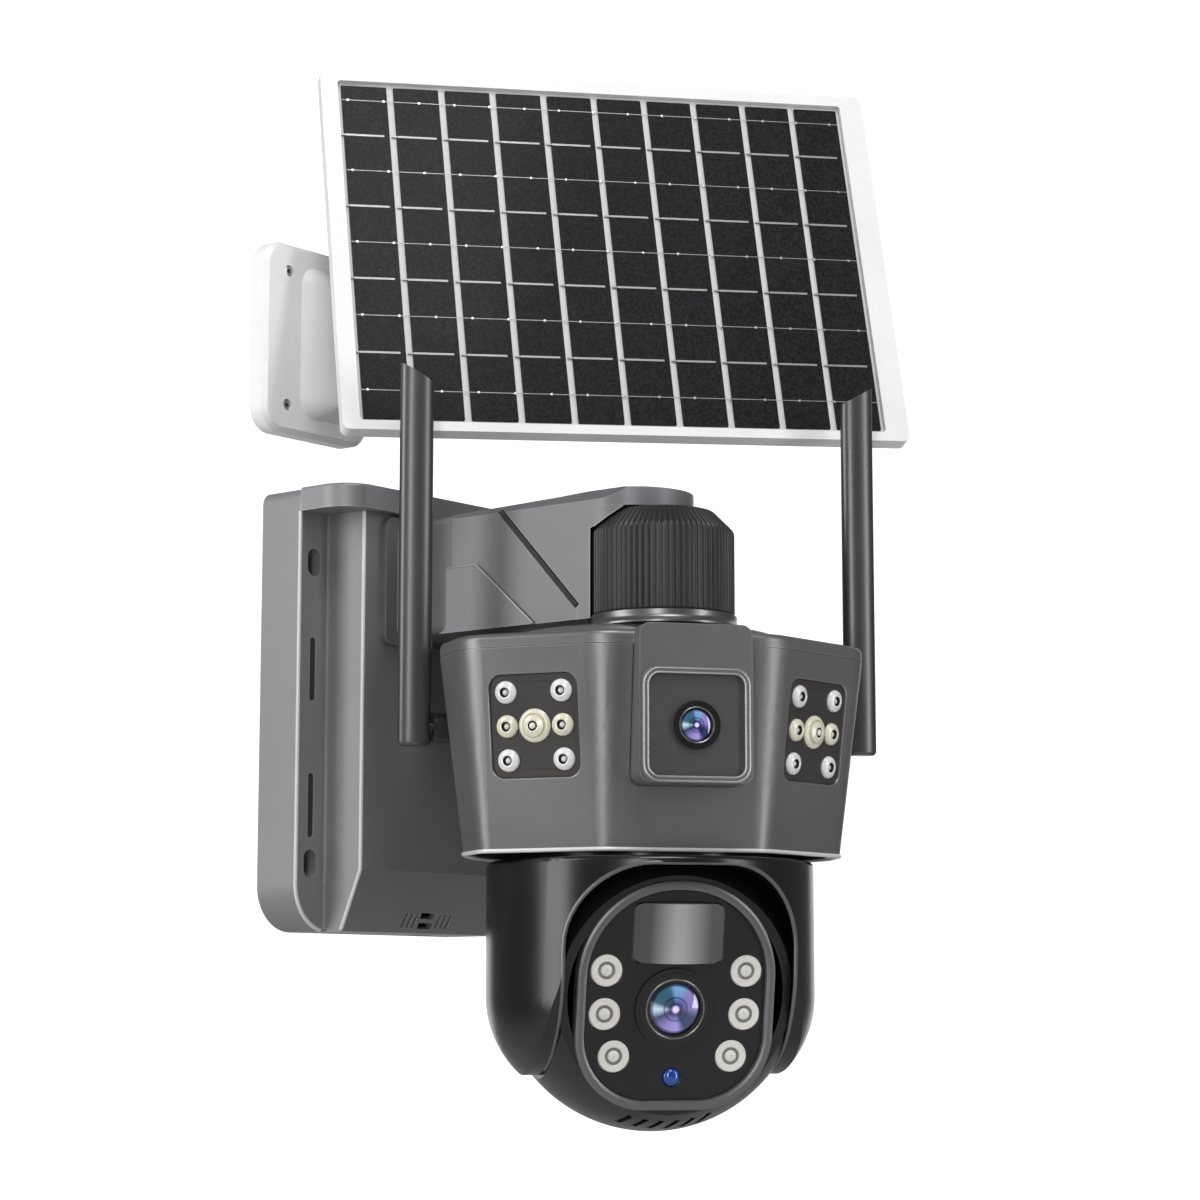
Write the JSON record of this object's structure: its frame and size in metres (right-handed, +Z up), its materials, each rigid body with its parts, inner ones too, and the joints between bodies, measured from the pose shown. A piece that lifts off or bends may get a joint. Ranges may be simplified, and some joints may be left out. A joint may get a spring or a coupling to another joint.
{
  "type": "solar security camera",
  "caption": "Wall-mounted solar camera: battery box with arm, swivelling head with fixed lens and LED panels, pan-tilt camera ball, folding antennas and a separate adjustable solar panel.",
  "frame": {"origin": "on the wall plane, on the battery box's vertical centre line, 83.5 mm above the box's bottom", "axes": "+X right along the wall seen from the front, +Y into the wall, +Z up"},
  "size_m": [0.2208, 0.2015, 0.4319],
  "materials": {
    "box_grey": "satin",
    "crown_grey": "satin",
    "black_gloss": "gloss",
    "black_satin": "satin",
    "charcoal": "satin",
    "white_plastic": "satin",
    "panel_glass": "polished",
    "silicon": "satin",
    "lens_glass": "polished",
    "window": "gloss",
    "pir_film": "satin",
    "led_white": "gloss",
    "reflector": "polished",
    "circuit": "satin",
    "steel": "brushed",
    "brass": "satin",
    "acetal": "satin",
    "cell_wrap": "gloss",
    "rubber": "matte",
    "sensor_blue": "gloss"
  },
  "bodies": {
    "base": {"rear_case": "box_grey", "front_case": "box_grey", "case_gasket": "rubber", "rain_hood": "box_grey", "battery_cells": "cell_wrap", "battery_holder": "black_satin", "charge_board": "circuit", "cable_gland": "rubber", "arm_root": "box_grey", "arm_boom": "box_grey", "neck_post": "steel", "neck_nut": "brass", "wall_bracket": "white_plastic", "swivel_pin": "steel"},
    "button": {"power_button": "rubber"},
    "head": {"swivel_knob": "charcoal", "neck_collar": "crown_grey", "crown_shell": "crown_grey", "crown_lid": "crown_grey", "lens_box": "crown_grey", "fixed_window": "window", "fixed_lens_barrel": "black_satin", "fixed_lens_glass": "lens_glass", "led_panels": "crown_grey", "led_emitters": "led_white", "crown_floor": "black_satin", "pan_motor": "steel", "main_board": "circuit", "speaker": "black_satin", "antenna_hinges": "charcoal"},
    "antenna_l": {"antenna_left": "black_satin"},
    "antenna_r": {"antenna_right": "black_satin"},
    "pan_drive": {"pan_pinion": "brass"},
    "yoke": {"yoke_shell": "black_gloss", "pan_gear": "acetal", "thrust_washer": "acetal", "ear_plates": "black_satin", "tilt_motor": "steel"},
    "tilt_drive": {"tilt_pinion": "brass"},
    "ball": {"ball_front_shell": "black_gloss", "ball_rear_shell": "black_gloss", "face_ring": "charcoal", "face_window": "window", "pir_window": "pir_film", "ptz_lens_barrel": "black_satin", "ptz_lens_glass": "lens_glass", "ir_reflectors": "reflector", "ir_emitters": "led_white", "light_sensor": "sensor_blue", "camera_board": "circuit", "tilt_axles": "steel", "tilt_gear": "acetal"},
    "swing_arm": {"swing_link": "white_plastic", "tilt_bolt": "white_plastic"},
    "panel": {"panel_frame": "white_plastic", "panel_glass": "panel_glass", "solar_cells": "silicon", "panel_back": "white_plastic", "junction_box": "black_satin", "panel_hinge": "white_plastic"}
  },
  "joints": [
    {"name": "head_swivel", "type": "hinge", "parent": "base", "child": "head", "pos_m": [0, -0.15, 0.055], "axis": [0, 0, 1], "range_deg": [-5, 6]},
    {"name": "pan", "type": "hinge", "parent": "head", "child": "yoke", "pos_m": [0.01204, -0.13403, -0.0386], "axis": [0, 0, 1], "range_deg": [-175, 175]},
    {"name": "tilt", "type": "hinge", "parent": "yoke", "child": "ball", "pos_m": [0.01204, -0.13403, -0.1005], "axis": [0.7986, -0.6018, 0], "range_deg": [-12, 78]},
    {"name": "antenna_left_fold", "type": "hinge", "parent": "head", "child": "antenna_l", "pos_m": [-0.05182, -0.07088, -0.0075], "axis": [0.7986, -0.6018, 0], "range_deg": [0, 180]},
    {"name": "antenna_right_fold", "type": "hinge", "parent": "head", "child": "antenna_r", "pos_m": [0.09034, -0.178, -0.0075], "axis": [0.7986, -0.6018, 0], "range_deg": [0, 180]},
    {"name": "pan_pinion_spin", "type": "hinge", "parent": "head", "child": "pan_drive", "pos_m": [0.01068, -0.10806, -0.03], "axis": [0, 0, 1], "range_deg": [-585, 585]},
    {"name": "tilt_pinion_spin", "type": "hinge", "parent": "yoke", "child": "tilt_drive", "pos_m": [-0.0263, -0.10514, -0.0869], "axis": [0.7986, -0.6018, 0], "range_deg": [-188, 30]},
    {"name": "panel_swivel", "type": "hinge", "parent": "base", "child": "swing_arm", "pos_m": [-0.026, -0.028, 0.1515], "axis": [0, 0, 1], "range_deg": [-1.5, 25]},
    {"name": "panel_tilt", "type": "hinge", "parent": "swing_arm", "child": "panel", "pos_m": [0.05214, -0.07871, 0.18578], "axis": [0.8035, -0.5946, 0.0279], "range_deg": [-1, 15]},
    {"name": "power_press", "type": "slide", "parent": "base", "child": "button", "axis": [0, 0, 1], "range_m": [0, 0.0012], "stiffness_N_per_m": 400}
  ],
  "couplings": [
    {"joint": "pan_pinion_spin", "follows": "pan", "ratio": -3.3333},
    {"joint": "tilt_pinion_spin", "follows": "tilt", "ratio": -2.4}
  ]
}
